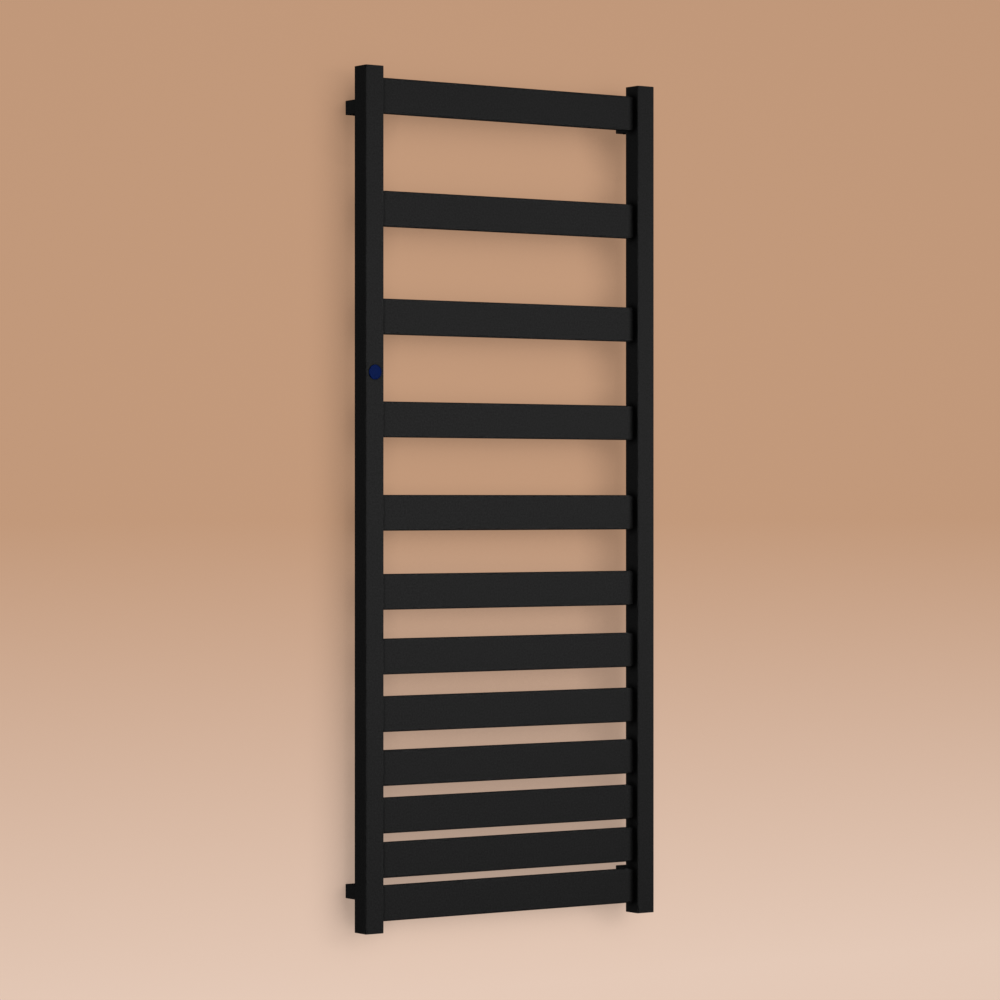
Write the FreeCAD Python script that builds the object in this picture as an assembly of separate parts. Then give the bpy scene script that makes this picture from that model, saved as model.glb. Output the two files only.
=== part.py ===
import FreeCAD, Part
import math
import os

# A wall-hung towel warmer rack, filled with hot water from the heating pipes.
# Two square posts are joined by twelve flat bars, set wider apart towards the top.
# Four square sleeves on the backs of the posts slide over four shoes that are screwed to the wall.
#
# Millimetres, +X along the wall to the right, +Y into the wall, +Z up.
# The origin is on the wall, at the centre of the four wall screws.

# ---- bars, from the top one down ----
bar_height = 50.0
bar_thickness = 10.0
bar_wall = 1.5
bar_edge_radius = 3.0
bar_gaps = [107.0, 100.0, 93.0, 80.0, 60.0, 40.0, 30.0, 25.0, 16.0, 12.0, 10.0]
bar_past_post_wall = 1.0
braze_gap = 0.05

# ---- posts ----
width_between_posts = 440.0
post_side = 30.0
post_wall = 1.5
post_corner_radius = 2.0
post_above_top_bar = 15.0
post_below_bottom_bar = 15.0

# ---- closed top ends of the posts ----
cap_thickness = 3.0
end_edge_radius = 0.6
spigot_length = 3.0
spigot_clearance = 0.15

# ---- pipe connections in the bottom ends of the posts, half-inch pipe thread ----
connection_plate_thickness = 3.0
connection_bush_radius = 12.0
connection_bush_height = 15.0
connection_bore_radius = 9.3
connection_mouth_chamfer = 1.0

# ---- wall sleeves on the backs of the posts ----
sleeve_side = 20.0
sleeve_length = 30.0
sleeve_wall = 3.0
sleeve_corner_radius = 1.0
sleeve_from_post_end = 55.0

# ---- wall shoes inside the sleeves ----
shoe_clearance = 0.2
shoe_short_of_post = 6.0
shoe_corner_radius = 0.8
wall_screw_hole_radius = 2.75
screw_head_recess_radius = 5.0
screw_seat_thickness = 10.0

# ---- set screws that clamp the sleeves on the shoes ----
set_screw_radius = 2.5
set_screw_length = 4.0
set_screw_from_wall = 8.0
set_screw_key_across_flats = 2.5
set_screw_key_depth = 2.0
set_screw_tip_gap = 0.1
thread_clearance = 0.05

# ---- plain round badge on the front of the left post ----
badge_radius = 10.25
badge_thickness = 1.0
badge_edge_radius = 0.4
badge_below_post_top = 425.0

# ---- air vent in the back of the right post ----
vent_below_post_top = 28.0
vent_bush_radius = 9.0
vent_bush_proud = 2.0
vent_bush_inside = 5.0
vent_bore_radius = 6.55
vent_gasket_thickness = 1.0
vent_gasket_clearance = 0.15
vent_shank_length = 8.0
vent_hex_across_flats = 17.0
vent_hex_height = 4.0
vent_hex_bevel = 0.6
vent_nose_radius = 4.6
vent_lip_radius = 5.0
vent_lip_height = 0.8
vent_waterway_radius = 1.2
vent_port_radius = 1.0
collar_outer_radius = 7.5
collar_height = 6.3
collar_clearance = 0.1
collar_edge_radius = 0.6
spout_radius = 2.2
spout_bore_radius = 1.2
spout_reach = 12.0

# ---- bleed screw in the vent ----
bleed_screw_radius = 2.5
bleed_tip_length = 1.5
bleed_seat_from_flange = 2.0
bleed_head_side = 5.0
bleed_head_height = 3.5
bleed_slot_width = 1.0
bleed_slot_depth = 1.5

# ---- derived places ----
bar_count = len(bar_gaps) + 1
bar_stack_height = bar_count * bar_height + sum(bar_gaps)
rack_height = post_above_top_bar + bar_stack_height + post_below_bottom_bar
post_offset = (width_between_posts + post_side) / 2
post_back = -sleeve_length
post_front = post_back - post_side
post_middle = (post_front + post_back) / 2
rack_top = rack_height / 2
rack_bottom = -rack_height / 2
sleeve_levels = {"top": rack_top - sleeve_from_post_end, "bottom": rack_bottom + sleeve_from_post_end}
post_places = {"left": -post_offset, "right": post_offset}
tube_top = rack_top - cap_thickness
tube_bottom = rack_bottom + connection_plate_thickness
sleeve_bore_side = sleeve_side - 2 * sleeve_wall
shoe_side = sleeve_bore_side - 2 * shoe_clearance

along_x = FreeCAD.Vector(1, 0, 0)
along_y = FreeCAD.Vector(0, 1, 0)
along_z = FreeCAD.Vector(0, 0, 1)
overrun = 1.0


def edges_along(shape, direction):
    """The straight edges of a shape that run along a direction."""
    found = []
    for edge in shape.Edges:
        if isinstance(edge.Curve, Part.Line) and abs(edge.Curve.Direction.dot(direction)) > 0.999:
            found.append(edge)
    return found


def bar_of(centre, size, direction, radius):
    """A box about a centre, with its four edges along one direction rounded."""
    corner = centre - FreeCAD.Vector(size[0], size[1], size[2]) * 0.5
    box = Part.makeBox(size[0], size[1], size[2], corner)
    return box.makeFillet(radius, edges_along(box, direction))


def rod(radius, start, end, x, z):
    """A round rod along Y between two depths."""
    return Part.makeCylinder(radius, end - start, FreeCAD.Vector(x, start, z), along_y)


def ring(inner_radius, outer_radius, start, end, x, z):
    """A round ring along Y between two depths."""
    return rod(outer_radius, start, end, x, z).cut(rod(inner_radius, start - overrun, end + overrun, x, z))


def hexagon_prism(across_flats, origin, direction, length):
    """A hexagonal prism that starts at a point and runs along a direction."""
    corner_radius = across_flats / math.sqrt(3)
    corners = []
    for step in range(7):
        turn = math.radians(60 * step)
        corners.append(FreeCAD.Vector(corner_radius * math.cos(turn), corner_radius * math.sin(turn), 0))
    face = Part.Face(Part.makePolygon(corners))
    prism = face.extrude(along_z * length)
    prism.Placement = FreeCAD.Placement(origin, FreeCAD.Rotation(along_z, direction))
    return prism


def bar_levels():
    """The middle height of each bar, from the top one down."""
    levels = []
    level = rack_top - post_above_top_bar - bar_height / 2
    for gap in bar_gaps:
        levels.append(level)
        level -= bar_height + gap
    levels.append(level)
    return levels


def bar_outside(level, length, margin):
    """The outer form of a bar, grown by a margin all round its section."""
    size = (length, bar_thickness + 2 * margin, bar_height + 2 * margin)
    centre = FreeCAD.Vector(0, post_middle, level)
    return bar_of(centre, size, along_x, bar_edge_radius + margin)


def flat_bar(level):
    """A flat hollow bar whose open ends stand just inside the posts."""
    length = width_between_posts + 2 * (post_wall + bar_past_post_wall)
    outside = bar_outside(level, length, 0)
    inner_radius = max(bar_edge_radius - bar_wall, 0.2)
    inner_size = (length + 2 * overrun, bar_thickness - 2 * bar_wall, bar_height - 2 * bar_wall)
    inside = bar_of(FreeCAD.Vector(0, post_middle, level), inner_size, along_x, inner_radius)
    return outside.cut(inside)


def post_section(x, bottom, top, side, radius):
    """A square length of a post's axis."""
    centre = FreeCAD.Vector(x, post_middle, (bottom + top) / 2)
    return bar_of(centre, (side, side, top - bottom), along_z, radius)


def tube_bore(x, bottom, top, clearance):
    """The square bore of a post's tube, less a clearance all round."""
    side = post_side - 2 * post_wall - 2 * clearance
    radius = max(post_corner_radius - post_wall, 0.2)
    return post_section(x, bottom, top, side, radius)


def post(x):
    """A square tube with a slot for each bar in its inner wall."""
    tube = post_section(x, tube_bottom, tube_top, post_side, post_corner_radius)
    tube = tube.cut(tube_bore(x, tube_bottom - overrun, tube_top + overrun, 0))
    slots = []
    reach = width_between_posts + 2 * post_wall + 2 * overrun
    for level in bar_levels():
        slots.append(bar_outside(level, reach, braze_gap))
    return tube.cut(slots)


def vented_post(x):
    """A post with the round hole that the vent's bush is welded into."""
    hole_radius = vent_bush_radius + braze_gap
    start = post_back - post_wall - overrun
    return post(x).cut(rod(hole_radius, start, post_back + overrun, x, vent_level))


def rounded_end(shape, level, radius):
    """A shape with the edges of its flat end at one height rounded."""
    rim = []
    for edge in shape.Edges:
        box = edge.BoundBox
        if abs(box.ZMin - level) < 1e-6 and abs(box.ZMax - level) < 1e-6:
            rim.append(edge)
    return shape.makeFillet(radius, rim)


def post_cap(x):
    """The plate that closes a post's top, with a spigot in the tube."""
    plate = post_section(x, tube_top, rack_top, post_side, post_corner_radius)
    plate = rounded_end(plate, rack_top, end_edge_radius)
    return plate.fuse(tube_bore(x, tube_top - spigot_length, tube_top, spigot_clearance)).removeSplitter()


def connection_socket(x):
    """The end plate of a post's foot, with a threaded bush that stands inside the tube."""
    plate = post_section(x, rack_bottom, tube_bottom, post_side, post_corner_radius)
    plate = rounded_end(plate, rack_bottom, end_edge_radius)
    mouth = FreeCAD.Vector(x, post_middle, rack_bottom)
    height = connection_plate_thickness + connection_bush_height
    bush = Part.makeCylinder(connection_bush_radius, height - overrun, mouth + along_z * overrun, along_z)
    bore = Part.makeCylinder(connection_bore_radius, height + overrun, mouth, along_z)
    mouth_radius = connection_bore_radius + connection_mouth_chamfer
    chamfer = Part.makeCone(mouth_radius, connection_bore_radius, connection_mouth_chamfer, mouth, along_z)
    return plate.fuse(bush).cut([bore, chamfer]).removeSplitter()


def wall_sleeve(x, level):
    """A square sleeve on the back of a post, with a threaded hole below for its set screw."""
    centre = FreeCAD.Vector(x, post_back / 2, level)
    outer_size = (sleeve_side, sleeve_length, sleeve_side)
    bore_size = (sleeve_bore_side, sleeve_length + 2 * overrun, sleeve_bore_side)
    sleeve = bar_of(centre, outer_size, along_y, sleeve_corner_radius)
    sleeve = sleeve.cut(bar_of(centre, bore_size, along_y, shoe_corner_radius))
    hole_start = FreeCAD.Vector(x, -set_screw_from_wall, level - sleeve_side / 2 - overrun)
    hole_radius = set_screw_radius + thread_clearance
    return sleeve.cut(Part.makeCylinder(hole_radius, sleeve_wall + 2 * overrun, hole_start, along_z))


def wall_shoe(x, level):
    """The block that is screwed to the wall, with a recess for the screw's head."""
    shoe_length = sleeve_length - shoe_short_of_post
    centre = FreeCAD.Vector(x, -shoe_length / 2, level)
    shoe = bar_of(centre, (shoe_side, shoe_length, shoe_side), along_y, shoe_corner_radius)
    hole = rod(wall_screw_hole_radius, -shoe_length - overrun, overrun, x, level)
    recess = rod(screw_head_recess_radius, -shoe_length - overrun, -screw_seat_thickness, x, level)
    return shoe.cut([hole, recess])


def set_screw(x, level):
    """A short headless screw under a sleeve, turned with a hexagon key from below."""
    tip = level - shoe_side / 2 - set_screw_tip_gap
    foot = FreeCAD.Vector(x, -set_screw_from_wall, tip - set_screw_length)
    screw = Part.makeCylinder(set_screw_radius, set_screw_length, foot, along_z)
    return screw.cut(hexagon_prism(set_screw_key_across_flats, foot, along_z, set_screw_key_depth))


def badge():
    """A plain disc with a softly rounded rim, stuck on the left post."""
    level = rack_top - badge_below_post_top
    disc = rod(badge_radius, post_front - badge_thickness, post_front, post_places["left"], level)
    rim = []
    for edge in disc.Edges:
        if edge.BoundBox.YMax < post_front - badge_thickness / 2:
            rim.append(edge)
    return disc.makeFillet(badge_edge_radius, rim)


# ---- places along the air vent, from the post out towards the wall ----
vent_x = post_places["right"]
vent_level = rack_top - vent_below_post_top
bush_end = post_back + vent_bush_proud
gasket_end = bush_end + vent_gasket_thickness
hex_end = gasket_end + vent_hex_height
collar_start = hex_end + collar_clearance
collar_end = collar_start + collar_height
lip_start = collar_end + collar_clearance
nose_end = lip_start + vent_lip_height
shank_start = gasket_end - vent_shank_length
shank_radius = vent_bore_radius - thread_clearance
spout_depth = (collar_start + collar_end) / 2
bleed_seat = gasket_end + bleed_seat_from_flange
bleed_head_start = nose_end + collar_clearance


def vent_bush():
    """The threaded bush that is welded into the back of the post."""
    start = post_back - post_wall - vent_bush_inside
    return ring(vent_bore_radius, vent_bush_radius, start, bush_end, vent_x, vent_level)


def vent_gasket():
    """The flat rubber ring that seals the vent plug on its bush."""
    inner_radius = vent_bore_radius + vent_gasket_clearance
    return ring(inner_radius, vent_bush_radius, bush_end, gasket_end, vent_x, vent_level)


def vent_plug():
    """The vent's body: a threaded shank, a hexagon flange and a nose for the collar."""
    flange_start = FreeCAD.Vector(vent_x, gasket_end, vent_level)
    flange = hexagon_prism(vent_hex_across_flats, flange_start, along_y, vent_hex_height)
    bevel_foot = vent_hex_across_flats / math.sqrt(3) - vent_hex_bevel
    bevel_start = FreeCAD.Vector(vent_x, gasket_end, vent_level)
    bevel_top = bevel_foot + vent_hex_height
    flange = flange.common(Part.makeCone(bevel_top, bevel_foot, vent_hex_height, bevel_start, along_y))
    shank = rod(shank_radius, shank_start, gasket_end, vent_x, vent_level)
    nose = rod(vent_nose_radius, hex_end, nose_end, vent_x, vent_level)
    lip = rod(vent_lip_radius, lip_start, nose_end, vent_x, vent_level)
    body = flange.fuse([shank, nose, lip]).removeSplitter()
    screw_radius = bleed_screw_radius + thread_clearance
    screw_hole = rod(screw_radius, bleed_seat, nose_end + overrun, vent_x, vent_level)
    waterway = rod(vent_waterway_radius, shank_start - overrun, nose_end, vent_x, vent_level)
    port_length = 2 * (vent_nose_radius + overrun)
    port_start = FreeCAD.Vector(vent_x, spout_depth, vent_level - port_length / 2)
    port = Part.makeCylinder(vent_port_radius, port_length, port_start, along_z)
    return body.cut([screw_hole, waterway, port])


def vent_outlet():
    """The plastic collar that turns on the vent's nose, with a spout for the first drops."""
    collar = rod(collar_outer_radius, collar_start, collar_end, vent_x, vent_level)
    collar = collar.makeFillet(collar_edge_radius, [edge for edge in collar.Edges if edge.isClosed()])
    root = FreeCAD.Vector(vent_x, spout_depth, vent_level)
    down = along_z * -1
    spout = Part.makeCylinder(spout_radius, spout_reach, root, down)
    collar = collar.fuse(spout)
    nose_hole = rod(vent_nose_radius + collar_clearance, collar_start - overrun, collar_end + overrun,
                    vent_x, vent_level)
    spout_bore = Part.makeCylinder(spout_bore_radius, spout_reach + overrun, root, down)
    return collar.cut([nose_hole, spout_bore])


def bleed_screw():
    """The small screw that opens the vent: a cone tip, a shank and a slotted square head."""
    tip_start = FreeCAD.Vector(vent_x, bleed_seat + thread_clearance, vent_level)
    tip = Part.makeCone(vent_waterway_radius, bleed_screw_radius, bleed_tip_length, tip_start, along_y)
    shank = rod(bleed_screw_radius, tip_start.y + bleed_tip_length, bleed_head_start, vent_x, vent_level)
    head_centre = FreeCAD.Vector(vent_x, bleed_head_start + bleed_head_height / 2, vent_level)
    head_size = (bleed_head_side, bleed_head_height, bleed_head_side)
    head = bar_of(head_centre, head_size, along_y, bleed_head_side / 10)
    slot_corner = FreeCAD.Vector(vent_x - bleed_head_side / 2 - overrun,
                                 bleed_head_start + bleed_head_height - bleed_slot_depth,
                                 vent_level - bleed_slot_width / 2)
    slot = Part.makeBox(bleed_head_side + 2 * overrun, bleed_slot_depth + overrun, bleed_slot_width,
                        slot_corner)
    return tip.fuse([shank, head]).cut(slot)


def rack_pieces():
    """Every node's name and shape."""
    pieces = {}
    pieces["left_post"] = post(post_places["left"])
    pieces["right_post"] = vented_post(post_places["right"])
    for side, x in post_places.items():
        pieces[side + "_post_cap"] = post_cap(x)
        pieces[side + "_connection_socket"] = connection_socket(x)
    for number, level in enumerate(bar_levels(), start=1):
        pieces["bar_%02d" % number] = flat_bar(level)
    set_screws = []
    for height_name, level in sleeve_levels.items():
        for side, x in post_places.items():
            pieces["%s_%s_wall_sleeve" % (height_name, side)] = wall_sleeve(x, level)
            pieces["%s_%s_wall_shoe" % (height_name, side)] = wall_shoe(x, level)
            set_screws.append(set_screw(x, level))
    pieces["set_screws"] = Part.makeCompound(set_screws)
    pieces["badge"] = badge()
    pieces["vent_bush"] = vent_bush()
    pieces["vent_gasket"] = vent_gasket()
    pieces["vent_plug"] = vent_plug()
    pieces["vent_outlet"] = vent_outlet()
    pieces["bleed_screw"] = bleed_screw()
    return pieces


os.makedirs("parts", exist_ok=True)
for name, shape in rack_pieces().items():
    shape.exportStep("parts/%s.step" % name)
    print("%-26s %d solid(s), %9.1f mm3" % (name, len(shape.Solids), shape.Volume))
print("rack %.1f mm high, %.1f mm wide, %.1f mm deep"
      % (rack_height, 2 * post_offset + post_side, -post_front))
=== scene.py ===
# %% [markdown]
# # A black towel warmer rack
#
# This notebook dresses a wall-hung towel warmer: two square steel posts, twelve flat bars, four square
# wall sleeves, a small round badge and an air vent. The shapes that carry and fit are already there as
# CAD solids. What is added here is what a painter and a welder add: the powder coat and the other
# finishes, the braze and weld beads, the pipe threads and the enamelled badge. Everything is in metres,
# with +X along the wall to the right, +Y into the wall and +Z up.

# %% Load the frame
import math

import bmesh
import bpy
from mathutils import Matrix, Vector


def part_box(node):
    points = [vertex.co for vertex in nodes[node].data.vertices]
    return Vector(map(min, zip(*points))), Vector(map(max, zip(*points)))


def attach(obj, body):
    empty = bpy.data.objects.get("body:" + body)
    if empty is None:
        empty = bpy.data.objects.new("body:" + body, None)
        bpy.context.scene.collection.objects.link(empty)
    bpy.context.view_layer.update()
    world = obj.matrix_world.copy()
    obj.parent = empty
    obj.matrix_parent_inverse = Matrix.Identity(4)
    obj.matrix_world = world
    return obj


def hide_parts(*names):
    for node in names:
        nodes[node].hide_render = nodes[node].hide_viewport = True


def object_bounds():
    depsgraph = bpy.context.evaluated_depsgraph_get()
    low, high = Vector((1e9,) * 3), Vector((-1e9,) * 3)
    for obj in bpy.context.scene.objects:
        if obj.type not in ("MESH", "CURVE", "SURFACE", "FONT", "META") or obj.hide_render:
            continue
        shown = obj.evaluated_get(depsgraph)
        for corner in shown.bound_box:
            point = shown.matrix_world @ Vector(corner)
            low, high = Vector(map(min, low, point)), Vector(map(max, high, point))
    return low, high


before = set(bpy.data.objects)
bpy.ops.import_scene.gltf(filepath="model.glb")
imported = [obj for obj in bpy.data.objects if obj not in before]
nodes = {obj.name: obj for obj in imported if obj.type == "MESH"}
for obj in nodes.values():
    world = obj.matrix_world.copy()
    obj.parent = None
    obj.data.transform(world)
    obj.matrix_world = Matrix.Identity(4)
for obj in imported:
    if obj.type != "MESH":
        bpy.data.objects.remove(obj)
cad_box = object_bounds()
print("CAD nodes:", len(nodes), "box:", [round(value, 4) for corner in cad_box for value in corner])

# %% [markdown]
# ## Measures
#
# New pieces have to sit exactly on the CAD ones, so their places are read from the CAD nodes' boxes and
# not typed in. Only sizes that a box can't tell, such as a corner's radius, are written down here.

# %% Read the measures that the new pieces need
mm = 0.001
bar_names = sorted(name for name in nodes if name.startswith("bar_"))
sleeve_names = sorted(name for name in nodes if name.endswith("_wall_sleeve"))
bar_edge_radius = 3.0 * mm
post_corner_radius = 2.0 * mm
sleeve_corner_radius = 1.0 * mm
left_post_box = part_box("left_post")
right_post_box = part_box("right_post")
rack_middle = (cad_box[0] + cad_box[1]) / 2
print("bars:", len(bar_names), "sleeves:", len(sleeve_names), "middle:", rack_middle)

# %% [markdown]
# ## Camera
#
# A tall, narrow thing is best shown from far away with a long lens, so that its posts stay parallel.
# The camera stands level with the middle of the rack, to its left, and looks about 35 degrees away from
# straight on. It is placed by walking back from a point that it aims at, which keeps the distance and
# the direction apart.

# %% Place the camera
camera_turn = math.radians(34.905)
camera_distance = 5.4144
lens_length = 136.05
sensor_width = 36.0
aim = Vector((0.0120, -0.0084, -0.0007))
sight_line = Vector((math.sin(camera_turn), math.cos(camera_turn), 0.0))
camera_data = bpy.data.cameras.new("product_camera")
camera_data.lens = lens_length
camera_data.sensor_width = sensor_width
camera = bpy.data.objects.new("product_camera", camera_data)
camera.location = aim - sight_line * camera_distance
camera.rotation_euler = (math.radians(90), 0.0, -camera_turn)
bpy.context.scene.collection.objects.link(camera)
bpy.context.scene.camera = camera
print("camera at", [round(value, 3) for value in camera.location])

# %% [markdown]
# ## Shared surface effects
#
# Several finishes need the same two things: a fine grain that breaks up the light, and a slow drift of
# tone over the surface. Each is a node group, which is a small recipe with named inputs. A group is
# built once and then placed in each material with its own sizes. The groups read Object coordinates,
# which are metres on the part, so a grain of half a millimetre is half a millimetre everywhere. Each
# helper adds one common node, and takes plain numbers or the outputs of other nodes.


# %% Helpers for nodes
def set_input(tree, socket, value):
    """Links another node's output to a socket, or writes a plain value into it."""
    if isinstance(value, bpy.types.NodeSocket):
        tree.links.new(value, socket)
    else:
        socket.default_value = value


def math_node(tree, operation, *values, clamp=False):
    """The result of a Math node. Each value is a number or another node's output."""
    node = tree.nodes.new("ShaderNodeMath")
    node.operation = operation
    node.use_clamp = clamp
    for socket, value in zip(node.inputs, values):
        set_input(tree, socket, value)
    return node.outputs[0]


def map_range(tree, value, from_min, from_max, to_min=0.0, to_max=1.0):
    """A value carried from one range to another, and kept inside it."""
    node = tree.nodes.new("ShaderNodeMapRange")
    labels = ("Value", "From Min", "From Max", "To Min", "To Max")
    for label, given in zip(labels, (value, from_min, from_max, to_min, to_max)):
        set_input(tree, node.inputs[label], given)
    return node.outputs["Result"]


def mix_colours(tree, share, first, second):
    """The first colour at a share of 0, the second at a share of 1."""
    node = tree.nodes.new("ShaderNodeMix")
    node.data_type = "RGBA"
    for label, given in zip(("Factor", "A", "B"), (share, first, second)):
        set_input(tree, node.inputs[label], given)
    return node.outputs["Result"]


def new_group(name, inputs, outputs):
    """An empty shader node group with float inputs and outputs, and its two end nodes."""
    group = bpy.data.node_groups.new(name, "ShaderNodeTree")
    group.interface.new_socket("Vector", in_out="INPUT", socket_type="NodeSocketVector")
    for label, value in inputs.items():
        socket = group.interface.new_socket(label, in_out="INPUT", socket_type="NodeSocketFloat")
        socket.default_value = value
    for label in outputs:
        group.interface.new_socket(label, in_out="OUTPUT", socket_type="NodeSocketFloat")
    start = group.nodes.new("NodeGroupInput")
    end = group.nodes.new("NodeGroupOutput")
    return group, start, end


def reciprocal(tree, socket):
    """One over a value: turns a size in metres into a texture's scale."""
    return math_node(tree, "DIVIDE", 1.0, socket)


# %% [markdown]
# ### Powder grain
#
# Powder coat is sprayed as dry paint dust and baked until it melts. A fine-textured one keeps tiny
# rounded bumps, about as large as the grains were, over a gentler waviness. Two noises of different
# size make that height.


# %% Build the powder grain group
waves_per_grain = 0.16


def powder_grain_group():
    """Height of small round bumps, of a grain size in metres, and of the waves under them."""
    inputs = {"Grain Size": 0.0006, "Waviness": 0.35}
    group, start, end = new_group("powder_grain", inputs, ["Height"])
    grain = group.nodes.new("ShaderNodeTexNoise")
    grain.inputs["Detail"].default_value = 2.0
    grain.inputs["Roughness"].default_value = 0.45
    waves = group.nodes.new("ShaderNodeTexNoise")
    waves.inputs["Detail"].default_value = 1.0
    blend = group.nodes.new("ShaderNodeMix")
    scale = reciprocal(group, start.outputs["Grain Size"])
    wave_scale = math_node(group, "MULTIPLY", scale, waves_per_grain)
    group.links.new(scale, grain.inputs["Scale"])
    group.links.new(wave_scale, waves.inputs["Scale"])
    group.links.new(start.outputs["Vector"], grain.inputs["Vector"])
    group.links.new(start.outputs["Vector"], waves.inputs["Vector"])
    group.links.new(start.outputs["Waviness"], blend.inputs[0])
    group.links.new(grain.outputs["Fac"], blend.inputs[2])
    group.links.new(waves.outputs["Fac"], blend.inputs[3])
    group.links.new(blend.outputs[0], end.inputs["Height"])
    return group


powder_grain = powder_grain_group()
print("group:", powder_grain.name, [item.name for item in powder_grain.interface.items_tree])

# %% [markdown]
# ### Tone drift
#
# No finish has quite the same tone everywhere. A slow noise, spread between a low and a high value,
# shifts a colour or a roughness up and down. Such a noise seldom leaves the middle of its range, so
# only that middle is spread. The eye hardly sees the pattern, but it misses it when it isn't there.


# %% Build the tone drift group
noise_low = 0.3
noise_high = 0.7


def tone_drift_group():
    """A slow variation between two values, with patches of a size in metres."""
    inputs = {"Patch Size": 0.02, "Low": 0.9, "High": 1.1}
    group, start, end = new_group("tone_drift", inputs, ["Value"])
    noise = group.nodes.new("ShaderNodeTexNoise")
    noise.inputs["Detail"].default_value = 3.0
    scale = reciprocal(group, start.outputs["Patch Size"])
    group.links.new(scale, noise.inputs["Scale"])
    group.links.new(start.outputs["Vector"], noise.inputs["Vector"])
    spread = map_range(group, noise.outputs["Fac"], noise_low, noise_high,
                       start.outputs["Low"], start.outputs["High"])
    group.links.new(spread, end.inputs["Value"])
    return group


tone_drift = tone_drift_group()
print("group:", tone_drift.name)

# %% [markdown]
# ### Turning marks
#
# The vent, its screw and its bush are turned on a lathe, and the tool leaves fine rings round their
# axis, which here runs along Y. Noise that is squeezed along Y and left long the other two ways gives
# such rings.


# %% Build the turning marks group
scale_along_rings = 0.04


def turning_marks_group():
    """Height of fine rings about an axis along Y, of a spacing in metres."""
    group, start, end = new_group("turning_marks", {"Spacing": 0.0003}, ["Height"])
    squeeze = group.nodes.new("ShaderNodeVectorMath")
    squeeze.operation = "MULTIPLY"
    squeeze.inputs[1].default_value = (scale_along_rings, 1.0, scale_along_rings)
    noise = group.nodes.new("ShaderNodeTexNoise")
    noise.inputs["Detail"].default_value = 2.0
    scale = reciprocal(group, start.outputs["Spacing"])
    group.links.new(start.outputs["Vector"], squeeze.inputs[0])
    group.links.new(squeeze.outputs[0], noise.inputs["Vector"])
    group.links.new(scale, noise.inputs["Scale"])
    group.links.new(noise.outputs["Fac"], end.inputs["Height"])
    return group


turning_marks = turning_marks_group()
print("group:", turning_marks.name)

# %% [markdown]
# ## Finishes
#
# Every finish starts from the same few nodes, so one helper lays them out: the Principled shader, the
# Object coordinates, the tone drift that shades the colour and the roughness, and a bump. What is the
# same all over the surface is set on the shader's own sockets.


# %% Helpers for finishes
nearness_samples = 16


def linear(red, green, blue):
    """A colour as a screen shows it, 0 to 255, turned into the light values that a shader needs."""
    values = []
    for level in (red, green, blue):
        part = level / 255
        values.append(part / 12.92 if part <= 0.04045 else ((part + 0.055) / 1.055) ** 2.4)
    return (values[0], values[1], values[2], 1.0)


def place_group(tree, group, coordinates, **values):
    """A group node with its own values, fed with Object coordinates."""
    node = tree.nodes.new("ShaderNodeGroup")
    node.node_tree = group
    tree.links.new(coordinates, node.inputs["Vector"])
    for label, value in values.items():
        node.inputs[label.replace("_", " ")].default_value = value
    return node


def new_finish(name, colour, roughness, metallic=0.0):
    """A material with the Principled shader and Object coordinates."""
    material = bpy.data.materials.new(name)
    material.use_nodes = True
    tree = material.node_tree
    shader = tree.nodes["Principled BSDF"]
    shader.inputs["Base Color"].default_value = colour
    shader.inputs["Roughness"].default_value = roughness
    shader.inputs["Metallic"].default_value = metallic
    coordinates = tree.nodes.new("ShaderNodeTexCoord").outputs["Object"]
    return material, tree, shader, coordinates


def scale_colour(tree, shader, colour, share):
    """Gives the shader a colour times a share."""
    shade = tree.nodes.new("ShaderNodeVectorMath")
    shade.operation = "SCALE"
    set_input(tree, shade.inputs[0], colour)
    set_input(tree, shade.inputs["Scale"], share)
    tree.links.new(shade.outputs[0], shader.inputs["Base Color"])


def drift_colour(tree, shader, coordinates, patch, amount):
    """Shades the shader's colour up and down by a share, in patches of a size."""
    drift = place_group(tree, tone_drift, coordinates, Patch_Size=patch, Low=1 - amount, High=1 + amount)
    colour = shader.inputs["Base Color"].default_value[:3]
    scale_colour(tree, shader, colour, drift.outputs["Value"])


def drift_roughness(tree, shader, coordinates, patch, amount):
    """Varies the shader's roughness about its value, in patches of a size."""
    middle = shader.inputs["Roughness"].default_value
    low = middle - amount
    high = middle + amount
    drift = place_group(tree, tone_drift, coordinates, Patch_Size=patch, Low=low, High=high)
    tree.links.new(drift.outputs["Value"], shader.inputs["Roughness"])


def paint_corner_shade(tree, shader, reach, slope, darkest):
    """Paints shade into the shader's colour in inner corners, where other faces stand within reach.

    Each share that is covered takes away slope times as much colour, down to the darkest share."""
    nearness = tree.nodes.new("ShaderNodeAmbientOcclusion")
    nearness.samples = nearness_samples
    nearness.inputs["Distance"].default_value = reach
    darkest_from = 1 - (1 - darkest) / slope
    kept = map_range(tree, nearness.outputs["AO"], darkest_from, 1.0, to_min=darkest)
    colour = shader.inputs["Base Color"].links[0].from_socket
    scale_colour(tree, shader, colour, kept)


def add_bump(tree, shader, height, depth, strength=1.0):
    """Turns a height of 0 to 1 into a bump of a depth in metres."""
    bump = tree.nodes.new("ShaderNodeBump")
    bump.inputs["Distance"].default_value = depth
    bump.inputs["Strength"].default_value = strength
    tree.links.new(height, bump.inputs["Height"])
    tree.links.new(bump.outputs["Normal"], shader.inputs["Normal"])
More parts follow.
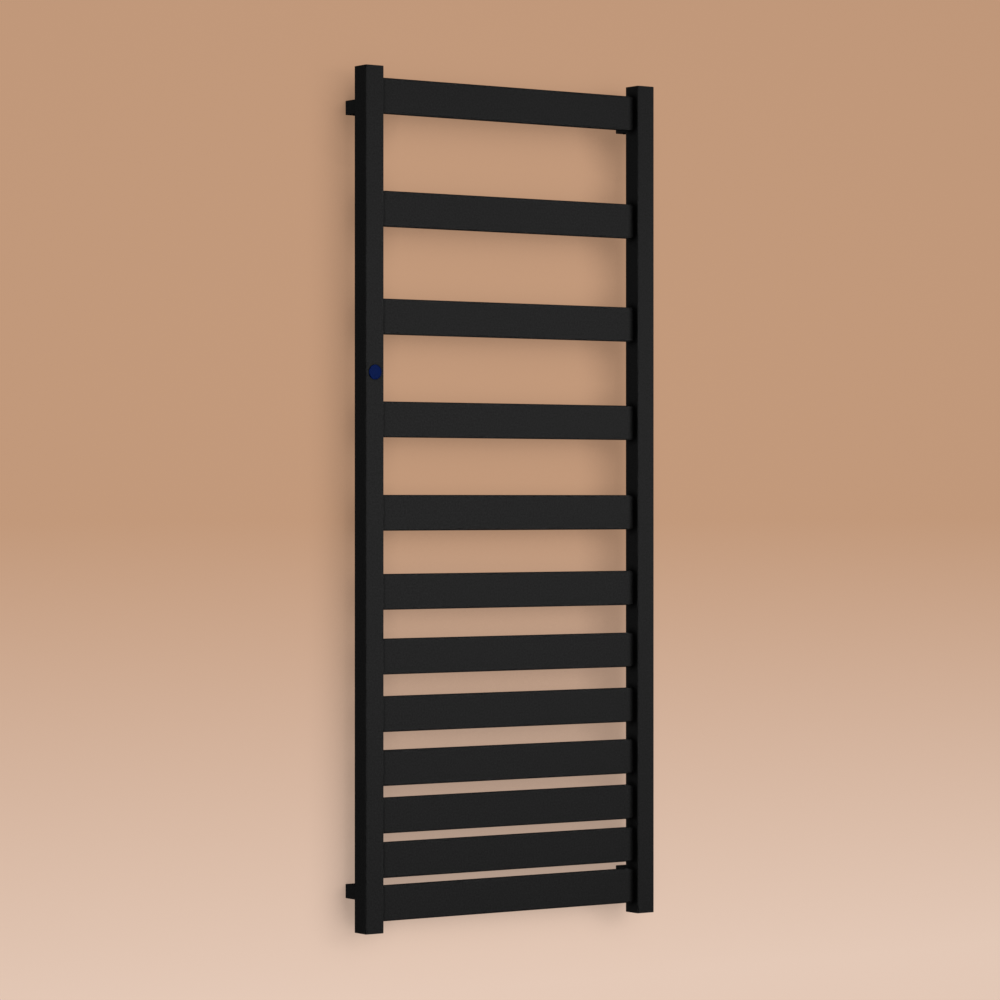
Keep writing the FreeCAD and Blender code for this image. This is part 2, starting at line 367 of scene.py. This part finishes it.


# %% [markdown]
# ### Black powder coat
#
# The whole rack is sprayed in one go, posts, bars and sleeves together, so they share one finish: a
# deep, wholly matt black, finely textured. Every small bump throws the light another way, so nothing
# is mirrored at all, and the specular level is set to zero. Its tone is mottled in specks of two or
# three millimetres. Little of a room's light finds its way into the inner corners, as where a bar
# stands just behind a post's edge, and that shade is painted into the coat's colour. The Ambient
# Occlusion node tells how much of a point's surroundings other faces cover within a short reach, and
# the colour is darkened by that share.


# %% Make the black powder coat
def make_black_powder_coat():
    """The coat of posts, bars, sleeves and all beads: matt, mottled, with painted shade in inner corners.
    """
    coal_black = linear(31, 31, 31)
    material, tree, shader, coordinates = new_finish("black_powder_coat", coal_black, roughness=0.6)
    shader.inputs["Specular IOR Level"].default_value = 0.0
    drift_colour(tree, shader, coordinates, patch=0.0025, amount=0.24)
    # Painted shade: the coat's colour is darkened in inner corners, such as where a bar meets a post.
    paint_corner_shade(tree, shader, reach=0.0105, slope=2.2, darkest=0.45)
    drift_roughness(tree, shader, coordinates, patch=0.05, amount=0.03)
    grain = place_group(tree, powder_grain, coordinates, Grain_Size=0.0007, Waviness=0.35)
    add_bump(tree, shader, grain.outputs["Height"], depth=0.00016, strength=0.9)
    return material


# %% [markdown]
# ### Small metal and plastic finishes
#
# The shoes are zinc castings, grey and a little grainy. The set screws are steel under a matt black
# oxide layer, which hides the metal's shine. The vent is nickel-plated brass with turning marks, its
# screw is left as plain brass, its gasket is rubber and its collar is white plastic. Each gets its own
# colour and shine, with the same shared groups at other sizes.


# %% Make the small finishes
def make_shoe_alloy():
    """Bare cast zinc, as grainy as the mould it came from."""
    zinc_grey = linear(150, 152, 154)
    material, tree, shader, coordinates = new_finish("shoe_alloy", zinc_grey, roughness=0.45, metallic=1.0)
    drift_colour(tree, shader, coordinates, patch=0.003, amount=0.06)
    grain = place_group(tree, powder_grain, coordinates, Grain_Size=0.0004, Waviness=0.2)
    add_bump(tree, shader, grain.outputs["Height"], depth=0.00005, strength=0.5)
    return material


def make_blackened_steel():
    """The oxide layer on the set screws, which isn't metal and doesn't shine."""
    oxide_black = linear(30, 29, 28)
    material, tree, shader, coordinates = new_finish("blackened_steel", oxide_black, roughness=0.5)
    shader.inputs["Specular IOR Level"].default_value = 0.0
    drift_colour(tree, shader, coordinates, patch=0.0015, amount=0.12)
    grain = place_group(tree, powder_grain, coordinates, Grain_Size=0.00025, Waviness=0.1)
    add_bump(tree, shader, grain.outputs["Height"], depth=0.00002, strength=0.4)
    return material


def make_seal_rubber():
    """Dull black rubber, a little mottled."""
    rubber_black = linear(24, 24, 25)
    material, tree, shader, coordinates = new_finish("seal_rubber", rubber_black, roughness=0.75)
    shader.inputs["Specular IOR Level"].default_value = 0.3
    drift_colour(tree, shader, coordinates, patch=0.002, amount=0.15)
    grain = place_group(tree, powder_grain, coordinates, Grain_Size=0.0003, Waviness=0.3)
    add_bump(tree, shader, grain.outputs["Height"], depth=0.00003, strength=0.5)
    return material


def make_nickel_brass():
    """Nickel plate over turned brass: a warm silver with fine rings."""
    silver = linear(196, 190, 178)
    material, tree, shader, coordinates = new_finish("nickel_brass", silver, roughness=0.28, metallic=1.0)
    drift_colour(tree, shader, coordinates, patch=0.006, amount=0.05)
    marks = place_group(tree, turning_marks, coordinates, Spacing=0.0003)
    add_bump(tree, shader, marks.outputs["Height"], depth=0.00002, strength=0.35)
    return material


def make_plain_brass():
    """Turned brass without a plate, a little dull."""
    yellow = linear(204, 168, 96)
    material, tree, shader, coordinates = new_finish("plain_brass", yellow, roughness=0.32, metallic=1.0)
    drift_colour(tree, shader, coordinates, patch=0.0025, amount=0.1)
    marks = place_group(tree, turning_marks, coordinates, Spacing=0.00025)
    add_bump(tree, shader, marks.outputs["Height"], depth=0.00002, strength=0.4)
    return material


def make_white_plastic():
    """Moulded white plastic with the faint texture of its mould."""
    warm_white = linear(226, 225, 219)
    material, tree, shader, coordinates = new_finish("white_plastic", warm_white, roughness=0.42)
    drift_colour(tree, shader, coordinates, patch=0.008, amount=0.02)
    grain = place_group(tree, powder_grain, coordinates, Grain_Size=0.0004, Waviness=0.5)
    add_bump(tree, shader, grain.outputs["Height"], depth=0.00002, strength=0.4)
    return material


# %% [markdown]
# ### Blue enamel
#
# The badge on the left post is a small navy disc. Enamel is coloured glass melted on metal. This one is
# of the matt kind, which mirrors next to nothing, so its blue stays deep from every side. Melted glass
# never sets perfectly flat: a wide, shallow waviness is its only relief.


# %% Make the blue enamel
def make_blue_enamel():
    """Matt navy enamel with a wide, shallow waviness."""
    navy = linear(2, 17, 58)
    material, tree, shader, coordinates = new_finish("blue_enamel", navy, roughness=0.5)
    shader.inputs["Specular IOR Level"].default_value = 0.01
    drift_colour(tree, shader, coordinates, patch=0.005, amount=0.04)
    grain = place_group(tree, powder_grain, coordinates, Grain_Size=0.003, Waviness=0.6)
    add_bump(tree, shader, grain.outputs["Height"], depth=0.00004, strength=0.3)
    return material


finishes = {
    "black_powder_coat": make_black_powder_coat(),
    "shoe_alloy": make_shoe_alloy(),
    "blackened_steel": make_blackened_steel(),
    "blue_enamel": make_blue_enamel(),
    "seal_rubber": make_seal_rubber(),
    "nickel_brass": make_nickel_brass(),
    "white_plastic": make_white_plastic(),
    "plain_brass": make_plain_brass(),
}
print("finishes:", ", ".join(finishes))

# %% [markdown]
# ## Finish the CAD nodes
#
# The CAD solids already have the right shape, so they keep their meshes and only get a finish. Most are
# powder coated, and those that aren't are listed by slot.

# %% Give each CAD node its finish
bare_nodes = {
    "shoe_alloy": [name for name in nodes if name.endswith("_wall_shoe")],
    "blackened_steel": ["set_screws"],
    "blue_enamel": ["badge"],
    "seal_rubber": ["vent_gasket"],
    "nickel_brass": ["vent_plug"],
    "white_plastic": ["vent_outlet"],
    "plain_brass": ["bleed_screw"],
}
slot_of_node = {name: "black_powder_coat" for name in nodes}
for slot_name, members in bare_nodes.items():
    for name in members:
        slot_of_node[name] = slot_name
for name, slot_name in slot_of_node.items():
    nodes[name].data.materials.clear()
    nodes[name].data.materials.append(finishes[slot_name])
coated_nodes = [name for name in nodes if slot_of_node[name] == "black_powder_coat"]
print("powder coated nodes:", len(coated_nodes))


# %% [markdown]
# ## New pieces
#
# The pieces that follow are modelled with mesh operators. Each one ends in the same way: doubles are
# merged, the normals are made to point outwards, edges sharper than a limit stay crisp, and the piece
# rides on the body that carries it.


# %% A helper that finishes a piece
merge_distance = 1e-6


def finish_piece(name, bm, slot_name, body="rack", crisp_angle=math.radians(32)):
    """Turns a bmesh into a named object that rides on a body."""
    bmesh.ops.remove_doubles(bm, verts=bm.verts, dist=merge_distance)
    bmesh.ops.recalc_face_normals(bm, faces=bm.faces)
    for face in bm.faces:
        face.smooth = True
    for edge in bm.edges:
        edge.smooth = edge.calc_face_angle(0.0) < crisp_angle
    open_edges = sum(1 for edge in bm.edges if not edge.is_manifold)
    mesh = bpy.data.meshes.new(name)
    bm.to_mesh(mesh)
    bm.free()
    mesh.materials.append(finishes[slot_name])
    piece = bpy.data.objects.new(name, mesh)
    bpy.context.scene.collection.objects.link(piece)
    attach(piece, body)
    print(name, "faces:", len(mesh.polygons), "open edges:", open_edges)
    return piece


# %% [markdown]
# ### Beads where pieces meet
#
# The bars are brazed into the posts and the sleeves are welded on their backs. The filler leaves a
# small hollow curve all round the joint, and under the paint it is what makes the pieces look grown
# together instead of pushed through each other. The bead follows a rectangle with round corners, so it
# is made from such outlines, one behind the other, bridged to a closed ring. Each outline is a grid
# face of one cell whose four corners are bevelled. A bead reaches a little way into both pieces, so no
# gap shows under it.


# %% Rounded outlines and beads
corner_steps = 4
bead_steps = 4
bead_sunk = 0.05 * mm


def rounded_outline(bm, width, height, radius, level):
    """The edges of a rectangle with round corners, flat at one level along Z."""
    cell = bmesh.ops.create_grid(bm, x_segments=1, y_segments=1, size=0.5)["verts"]
    bmesh.ops.scale(bm, vec=(width, height, 1.0), verts=cell)
    bmesh.ops.translate(bm, vec=(0.0, 0.0, level), verts=cell)
    bevelled = bmesh.ops.bevel(bm, geom=cell, offset=radius, segments=corner_steps, profile=0.5,
                               affect="VERTICES", material=-1)
    face = bevelled["verts"][0].link_faces[0]
    edges = list(face.edges)
    bmesh.ops.delete(bm, geom=[face], context="FACES_ONLY")
    return edges


def bead_section(leg):
    """A hollow bead cut across: points some way out from the piece and some way up it."""
    section = [(-bead_sunk, leg)]
    for step in range(bead_steps + 1):
        turn = math.radians(90) * step / bead_steps
        section.append((leg * (1 - math.cos(turn)), leg * (1 - math.sin(turn))))
    return section + [(leg, -bead_sunk), (-bead_sunk, -bead_sunk)]


def add_bead(bm, width, height, corner, leg, place):
    """A closed ring of filler round a rectangle: it climbs from the wall at level 0 up the piece."""
    outlines = []
    for out, level in bead_section(leg):
        outlines.append(rounded_outline(bm, width + 2 * out, height + 2 * out, corner + out, level))
    for number, outline in enumerate(outlines):
        following = outlines[(number + 1) % len(outlines)]
        bmesh.ops.bridge_loops(bm, edges=outline + following)
    corners = {vert for outline in outlines for edge in outline for vert in edge.verts}
    bmesh.ops.transform(bm, matrix=place, verts=list(corners))


# %% [markdown]
# A bar ends in the inner wall of a post, so its bead faces the middle of the rack. The ring is made
# flat in the XY plane and then turned, so that its Z axis points along the bar away from the post. A
# matrix with the three wanted axes as its columns says that more plainly than three turns would.

# %% Braze beads at the ends of the bars
braze_leg = 0.8 * mm


def axes_matrix(x_axis, y_axis, z_axis, origin):
    """The matrix that carries X, Y, Z and the origin to the given axes and point."""
    turned = Matrix((x_axis, y_axis, z_axis)).transposed().to_4x4()
    return Matrix.Translation(origin) @ turned


def make_braze_beads(name, wall_x, away):
    """The beads of all bars on one post. away is +1 or -1, the way from the post to the middle."""
    bm = bmesh.new()
    for bar_name in bar_names:
        low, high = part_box(bar_name)
        middle = Vector((wall_x, (low.y + high.y) / 2, (low.z + high.z) / 2))
        place = axes_matrix((0, 0, 1), (0, 1, 0), (away, 0, 0), middle)
        add_bead(bm, high.z - low.z, high.y - low.y, bar_edge_radius, braze_leg, place)
    return finish_piece(name, bm, "black_powder_coat")


make_braze_beads("left_braze_beads", left_post_box[1].x, 1)
make_braze_beads("right_braze_beads", right_post_box[0].x, -1)

# %% [markdown]
# Round things are made by spinning a section about an axis. The section is a short chain of points,
# each a distance out from the axis and a height along it. A full spin merges its last row with its
# first, so no seam stays open.


# %% Helpers that spin a section
def add_chain(bm, points):
    """Vertices at the given points, each joined to the next by an edge."""
    verts = [bm.verts.new(point) for point in points]
    edges = [bm.edges.new(pair) for pair in zip(verts, verts[1:])]
    return verts, edges


def spin_section(bm, section, centre, axis, closed=False, steps=64):
    """Spins a chain of (radius, height) points about an axis through a centre."""
    axis = Vector(axis)
    outward = axis.orthogonal().normalized()
    verts, edges = add_chain(bm, [centre + outward * radius + axis * height for radius, height in section])
    if closed:
        edges.append(bm.edges.new((verts[-1], verts[0])))
    bmesh.ops.spin(bm, geom=verts + edges, cent=centre, axis=axis, angle=math.radians(360), steps=steps,
                   use_merge=True)


# %% [markdown]
# The sleeves stand on the backs of the posts, and a fillet weld is thicker than a braze. The same ring
# serves with a longer leg. The bush of the air vent is welded into the right post in the same way, and
# because it is round, its bead is the same section, spun about the bush's axis.

# %% Weld beads at the sleeves and the vent bush
weld_leg = 2.2 * mm
bush_weld_leg = 1.6 * mm
bush_radius = 9.0 * mm


def make_sleeve_welds():
    """The beads of all four sleeves, each on the back of its post."""
    bm = bmesh.new()
    for sleeve_name in sleeve_names:
        low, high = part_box(sleeve_name)
        middle = Vector(((low.x + high.x) / 2, low.y, (low.z + high.z) / 2))
        place = axes_matrix((1, 0, 0), (0, 0, 1), (0, 1, 0), middle)
        add_bead(bm, high.x - low.x, high.z - low.z, sleeve_corner_radius, weld_leg, place)
    return finish_piece("sleeve_welds", bm, "black_powder_coat")


def make_bush_weld():
    """The round bead of the air vent's bush, on the back of the right post."""
    low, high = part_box("vent_bush")
    centre = Vector(((low.x + high.x) / 2, right_post_box[1].y, (low.z + high.z) / 2))
    bm = bmesh.new()
    section = [(bush_radius + out, level) for out, level in bead_section(bush_weld_leg)]
    spin_section(bm, section, centre, (0, 1, 0), closed=True)
    return finish_piece("vent_bush_weld", bm, "black_powder_coat")


make_sleeve_welds()
make_bush_weld()

# %% [markdown]
# ### Threaded pipe sockets
#
# A valve screws into the foot of each post, so the socket has a half-inch pipe thread: 14 turns to the
# inch, which is a pitch of 1.814 mm. The thread is one small zigzag, spun many turns while it climbs by
# one pitch each turn. That is what a spin with a step vector does. The surface is then cut flat at both
# ends, a lead-in chamfer pushes the first crests outwards, and flat faces join it to the outside.

# %% Measures of the thread and the foot plate
pipe_pitch = 25.4 / 14 * mm
thread_crest_radius = 9.3 * mm
thread_root_radius = 10.3 * mm
mouth_radius = 10.9 * mm
bush_outer_radius = 12.0 * mm
plate_thickness = 3.0 * mm
foot_edge_radius = 0.6 * mm
half_crest = 0.14
half_root = 0.06
turns_below = 1.5
spare_turns = 2
turn_steps = 48
print("thread pitch in mm:", round(pipe_pitch / mm, 3))


# %% A helper that spins the thread
def spin_thread(bm, centre, bottom, top):
    """The inner surface of the threaded bore, cut flat at two levels and chamfered at both.

    The half crest and the half root are shares of the pitch. The spin starts below the bottom and ends
    above the top, so that the surface is whole where it is cut."""
    turns = math.ceil((top - bottom) / pipe_pitch) + spare_turns
    start = bottom - pipe_pitch * turns_below
    zigzag = [
        (thread_crest_radius, 0.0),
        (thread_crest_radius, half_crest),
        (thread_root_radius, 0.5 - half_root),
        (thread_root_radius, 0.5 + half_root),
        (thread_crest_radius, 1.0 - half_crest),
        (thread_crest_radius, 1.0),
    ]
    points = [(centre.x + radius, centre.y, start + share * pipe_pitch) for radius, share in zigzag]
    verts, edges = add_chain(bm, points)
    bmesh.ops.spin(bm, geom=verts + edges, cent=centre, axis=(0, 0, 1), angle=math.radians(360) * turns,
                   steps=turn_steps * turns, dvec=(0, 0, pipe_pitch / turn_steps), use_merge=False)
    bmesh.ops.remove_doubles(bm, verts=bm.verts, dist=merge_distance)
    for level, side in ((bottom, -1), (top, 1)):
        bmesh.ops.bisect_plane(bm, geom=bm.verts[:] + bm.edges[:] + bm.faces[:], plane_co=(0, 0, level),
                               plane_no=(0, 0, side), clear_outer=True)
    for vert in bm.verts:
        depth = min(vert.co.z - bottom, top - vert.co.z)
        away = Vector((vert.co.x - centre.x, vert.co.y - centre.y, 0.0))
        wanted = max(away.length, mouth_radius - depth)
        vert.co += away.normalized() * (wanted - away.length)


# %% [markdown]
# The rest of a socket is a square plate with a round bush on it. The plate's side is a stack of square
# outlines and the bush's side is a pair of circles, and both are bridged. A flat face between an inner
# and an outer outline is left to a triangle fill, which copes with a round hole in a square.


# %% Helpers for the outlines that close a socket
def rim_edges(bm, level):
    """The open edges at one level."""
    found = []
    for edge in bm.edges:
        if edge.is_boundary and all(abs(vert.co.z - level) < merge_distance for vert in edge.verts):
            found.append(edge)
    return found


def circle_edges(bm, radius, centre, level, steps=64):
    """A round closed loop of edges, flat at one level."""
    place = Matrix.Translation((centre.x, centre.y, level))
    ring = bmesh.ops.create_circle(bm, cap_ends=False, segments=steps, radius=radius, matrix=place)
    return list({edge for vert in ring["verts"] for edge in vert.link_edges})


def square_edges(bm, side, radius, centre, level):
    """A square outline with round corners, placed at a centre and a level."""
    edges = rounded_outline(bm, side, side, radius, 0.0)
    verts = list({vert for edge in edges for vert in edge.verts})
    bmesh.ops.translate(bm, vec=(centre.x, centre.y, level), verts=verts)
    return edges


# %% Make the threaded sockets
def make_threaded_socket(name, replaced):
    """A post's foot plate with its bush, bored and threaded."""
    low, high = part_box(replaced)
    centre = Vector(((low.x + high.x) / 2, (low.y + high.y) / 2, 0.0))
    side = high.x - low.x
    bm = bmesh.new()
    spin_thread(bm, centre, low.z, high.z)
    mouth = rim_edges(bm, low.z)
    top_rim = rim_edges(bm, high.z)
    plate_top = low.z + plate_thickness
    outlines = []
    for step in range(corner_steps + 1):
        turn = math.radians(90) * step / corner_steps
        inset = foot_edge_radius * (1 - math.sin(turn))
        level = low.z + foot_edge_radius * (1 - math.cos(turn))
        outlines.append(square_edges(bm, side - 2 * inset, post_corner_radius - inset, centre, level))
    outlines.append(square_edges(bm, side, post_corner_radius, centre, plate_top))
    for lower, upper in zip(outlines, outlines[1:]):
        bmesh.ops.bridge_loops(bm, edges=lower + upper)
    bush_foot = circle_edges(bm, bush_outer_radius, centre, plate_top)
    bush_top = circle_edges(bm, bush_outer_radius, centre, high.z)
    bmesh.ops.bridge_loops(bm, edges=bush_foot + bush_top)
    bmesh.ops.triangle_fill(bm, edges=mouth + outlines[0], use_beauty=True)
    bmesh.ops.triangle_fill(bm, edges=outlines[-1] + bush_foot, use_beauty=True)
    bmesh.ops.triangle_fill(bm, edges=top_rim + bush_top, use_beauty=True)
    piece = finish_piece(name, bm, "black_powder_coat")
    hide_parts(replaced)
    return piece


make_threaded_socket("left_threaded_socket", "left_connection_socket")
make_threaded_socket("right_threaded_socket", "right_connection_socket")

# %% [markdown]
# ### The badge
#
# The badge is a stamped disc. Its rim is rolled over and a shallow dome of enamel fills it, so the edge
# catches a thin line of light. It is left plain. A section with a flat back, a round rim and a gentle
# arc to the centre is spun about the badge's axis.

# %% Make the badge
badge_rim_radius = 0.45 * mm
badge_rim_wrap = math.radians(150)
badge_rim_steps = 8
enamel_gap = 0.1 * mm
dome_steps = 10
badge_turn_steps = 72


def make_badge():
    """A blank enamelled disc. Its dome stays the enamel gap below the rim's top and clear of the rim."""
    low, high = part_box("badge")
    centre = Vector(((low.x + high.x) / 2, high.y, (low.z + high.z) / 2))
    radius = (high.x - low.x) / 2
    thickness = high.y - low.y
    rim_middle = radius - badge_rim_radius
    rim_height = thickness - badge_rim_radius
    section = [(0.0, 0.0), (radius, 0.0), (radius, rim_height)]
    for step in range(1, badge_rim_steps + 1):
        turn = badge_rim_wrap * step / badge_rim_steps
        out = rim_middle + badge_rim_radius * math.cos(turn)
        section.append((out, rim_height + badge_rim_radius * math.sin(turn)))
    dome_radius = radius - 2 * badge_rim_radius - enamel_gap
    dome_bottom = section[-1][1] - enamel_gap
    dome_top = thickness - enamel_gap
    for step in range(dome_steps):
        turn = math.radians(90) * step / dome_steps
        height = dome_bottom + (dome_top - dome_bottom) * math.sin(turn)
        section.append((dome_radius * math.cos(turn), height))
    section.append((0.0, dome_top))
    bm = bmesh.new()
    spin_section(bm, section, centre, (0, -1, 0), steps=badge_turn_steps)
    piece = finish_piece("plain_badge", bm, "blue_enamel")
    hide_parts("badge")
    return piece


make_badge()

# %% [markdown]
# ## Stage
#
# The rack hangs on a warm tan wall, which turns paler from the rack's middle downwards, over a pale
# floor. Both are plain planes that only the camera sees: bounced light from a large wall would flood
# the backs and sides of the rack. They take the rack's soft shadow, and close behind the rack a shadow
# is painted into the wall's own glow. Seen from its back the wall is clear, so that the rack can be
# looked at from behind, and so is the floor from below.

# %% Measures and helpers for the wall and the floor
wall_width = 14.0
floor_width = 80.0
wall_height = 9.0
wall_gap = 0.5 * mm
floor_below_rack = 0.45
paler_from = -0.03
paler_until = -0.70
close_shade_reach = 0.075
close_shade_falloff = 1.8
close_shade_lean = 0.5
close_shade_most = 0.40
pale_backdrop = linear(224, 217, 210)
plain_black = (0.0, 0.0, 0.0, 1.0)


def find_painted_shadow(tree, normal, strength):
    """The share of its glow that a surface loses where something stands just in front of it: a painted
    shadow.

    It follows the share that the Ambient Occlusion node finds covered. A normal that leans upwards
    makes the shade fall downwards, and a power makes it fade faster away from the thing that casts it.
    The light that comes in round a bar keeps it at a set share at most, however narrow the gap is."""
    leaning = tree.nodes.new("ShaderNodeVectorMath")
    leaning.operation = "ADD"
    leaning.inputs[1].default_value = (0.0, 0.0, close_shade_lean)
    unit = tree.nodes.new("ShaderNodeVectorMath")
    unit.operation = "NORMALIZE"
    nearness = tree.nodes.new("ShaderNodeAmbientOcclusion")
    nearness.samples = nearness_samples
    nearness.inputs["Distance"].default_value = close_shade_reach
    tree.links.new(normal, leaning.inputs[0])
    tree.links.new(leaning.outputs[0], unit.inputs[0])
    tree.links.new(unit.outputs[0], nearness.inputs["Normal"])
    covered = math_node(tree, "SUBTRACT", 1.0, nearness.outputs["AO"], clamp=True)
    faded = math_node(tree, "POWER", covered, close_shade_falloff)
    shade = math_node(tree, "MULTIPLY", faded, strength, clamp=True)
    return math_node(tree, "MINIMUM", shade, close_shade_most)


def make_stage_finish(name, high_colour, low_colour, own_glow, close_shade):
    """A matt finish that is clear from behind, and turns from one colour to the other downwards.

    Its own glow, a share of its colour, lightens the shadows on it. The close shade, a shadow painted
    into that glow, takes some of it away again."""
    material, tree, shader, coordinates = new_finish(name, high_colour, roughness=1.0)
    shader.inputs["Specular IOR Level"].default_value = 0.0
    shader.inputs["Emission Strength"].default_value = own_glow
    parts = tree.nodes.new("ShaderNodeSeparateXYZ")
    tree.links.new(coordinates, parts.inputs["Vector"])
    height = map_range(tree, parts.outputs["Z"], paler_until, paler_from)
    tint = mix_colours(tree, height, low_colour, high_colour)
    tree.links.new(mix_colours(tree, own_glow, tint, plain_black), shader.inputs["Base Color"])
    surface = tree.nodes.new("ShaderNodeNewGeometry")
    # Painted shadow: the glow is darkened where the rack stands close in front of the wall.
    shade = find_painted_shadow(tree, surface.outputs["Normal"], close_shade)
    tree.links.new(mix_colours(tree, shade, tint, plain_black), shader.inputs["Emission Color"])
    clear = tree.nodes.new("ShaderNodeBsdfTransparent")
    choice = tree.nodes.new("ShaderNodeMixShader")
    tree.links.new(surface.outputs["Backfacing"], choice.inputs["Fac"])
    tree.links.new(shader.outputs["BSDF"], choice.inputs[1])
    tree.links.new(clear.outputs["BSDF"], choice.inputs[2])
    tree.links.new(choice.outputs["Shader"], tree.nodes["Material Output"].inputs["Surface"])
    return material


def make_stage_plane(name, width, depth, place, material):
    """A flat plane that only the camera sees."""
    bm = bmesh.new()
    bmesh.ops.create_grid(bm, x_segments=1, y_segments=1, size=0.5)
    bmesh.ops.scale(bm, vec=(width, depth, 1.0), verts=bm.verts)
    bmesh.ops.transform(bm, matrix=place, verts=bm.verts)
    mesh = bpy.data.meshes.new(name)
    bm.to_mesh(mesh)
    bm.free()
    mesh.materials.append(material)
    plane = bpy.data.objects.new(name, mesh)
    bpy.context.scene.collection.objects.link(plane)
    plane.visible_diffuse = False
    plane.visible_glossy = False
    plane.visible_transmission = False
    plane.visible_shadow = False
    print(name, "faces", [round(value, 2) for value in mesh.polygons[0].normal])


# %% Place the wall and the floor
warm_tan = linear(193, 152, 122)
pale_tan = linear(229, 202, 184)
wall_finish = make_stage_finish("warm_wall", warm_tan, pale_tan, own_glow=0.95, close_shade=1.45)
floor_finish = make_stage_finish("pale_floor", pale_backdrop, pale_backdrop, own_glow=0.75, close_shade=0.0)
floor_level = cad_box[0].z - floor_below_rack
wall_place = axes_matrix((1, 0, 0), (0, 0, 1), (0, -1, 0), (0, wall_gap, floor_level + wall_height / 2))
floor_place = Matrix.Translation((0, 0, floor_level))
make_stage_plane("wall", wall_width, wall_height, wall_place, wall_finish)
make_stage_plane("floor", floor_width, floor_width, floor_place, floor_finish)

# %% [markdown]
# ## Light
#
# A matt black thing is drawn by the side that its light comes from. The key box stands in front, a
# little to the right of the rack and above its middle. So the fronts show a soft grey, while the sides
# towards the camera stay nearly black, and the right post throws its soft shade on the ends of the
# bars. The box's light is narrow, so it fades towards the rack's head and foot. A second, weaker box
# fills the fronts, and a third one behind shapes the back.


# %% Make the lamps
def make_soft_box(name, turn, rise, distance, width, height, level, spread=180, target=(0.0, 0.0, 0.0)):
    """A rectangular lamp that stands off from a target at or beside the rack's middle, and faces it.

    The angles are in degrees: the turn goes from straight in front to the right, the rise upwards. The
    watts follow from the level and the lamp's area. A spread below 180 degrees narrows the light, so
    that it fades towards the ends of a tall thing."""
    turn = math.radians(turn)
    rise = math.radians(rise)
    lamp = bpy.data.lights.new(name, "AREA")
    lamp.shape = "RECTANGLE"
    lamp.size = width
    lamp.size_y = height
    lamp.energy = level * width * height * math.pi
    lamp.spread = math.radians(spread)
    direction = Vector((math.sin(turn) * math.cos(rise), -math.cos(turn) * math.cos(rise), math.sin(rise)))
    box = bpy.data.objects.new(name, lamp)
    box.location = rack_middle + Vector(target) + direction * distance
    box.rotation_mode = "QUATERNION"
    box.rotation_quaternion = direction.to_track_quat("Z", "Y")
    bpy.context.scene.collection.objects.link(box)
    print(name, "at", [round(value, 2) for value in box.location], "watts", round(lamp.energy, 1))
    return box


make_soft_box("key_box", turn=22, rise=9, distance=3.4, width=2.6, height=1.2, level=2.26,
              spread=54, target=(-0.28, 0.0, 0.03))
make_soft_box("fill_box", turn=5, rise=12, distance=3.2, width=2.4, height=2.0, level=0.3)
make_soft_box("back_box", turn=155, rise=8, distance=4.2, width=2.8, height=2.4, level=2.4)

# %% [markdown]
# The world does two jobs. As light it is a band at eye level, strongest from behind the rack, with next
# to nothing from straight above or below: it draws the side faces and leaves the tops of the bars
# black. What the camera, a mirror or a glass would see of it is a pale plain backdrop of the floor's
# colour. The Light Path node tells the two kinds of ray apart.


# %% Make the world
band_strength = 2.26
steep_strength = 0.02
band_edge = 0.5
front_share = 0.2
side_edge = 0.25


def make_world():
    """A band of light round the rack, and a plain backdrop for the rays that see the world itself."""
    world = bpy.data.worlds.new("soft_room")
    world.use_nodes = True
    sky = world.node_tree
    direction = sky.nodes.new("ShaderNodeTexCoord")
    parts = sky.nodes.new("ShaderNodeSeparateXYZ")
    sky.links.new(direction.outputs["Generated"], parts.inputs[0])
    steepness = math_node(sky, "ABSOLUTE", parts.outputs["Z"])
    band = map_range(sky, steepness, 0.0, band_edge, band_strength, steep_strength)
    sides = map_range(sky, parts.outputs["Y"], -side_edge, side_edge, front_share, 1.0)
    room_light = sky.nodes["Background"]
    room_light.inputs["Color"].default_value = (1.0, 1.0, 1.0, 1.0)
    sky.links.new(math_node(sky, "MULTIPLY", band, sides), room_light.inputs["Strength"])
    backdrop = sky.nodes.new("ShaderNodeBackground")
    backdrop.inputs["Color"].default_value = pale_backdrop
    ray = sky.nodes.new("ShaderNodeLightPath")
    seen = math_node(sky, "MAXIMUM", ray.outputs["Is Camera Ray"], ray.outputs["Is Glossy Ray"])
    seen_or_through = math_node(sky, "MAXIMUM", seen, ray.outputs["Is Transmission Ray"])
    choice = sky.nodes.new("ShaderNodeMixShader")
    sky.links.new(seen_or_through, choice.inputs["Fac"])
    sky.links.new(room_light.outputs["Background"], choice.inputs[1])
    sky.links.new(backdrop.outputs["Background"], choice.inputs[2])
    sky.links.new(choice.outputs["Shader"], sky.nodes["World Output"].inputs["Surface"])
    return world


bpy.context.scene.world = make_world()
print("world:", bpy.context.scene.world.name)

# %% [markdown]
# ## View transform
#
# The view transform is left plain, so colours come out as they are written.

# %% Set the view transform
bpy.context.scene.view_settings.view_transform = "Standard"
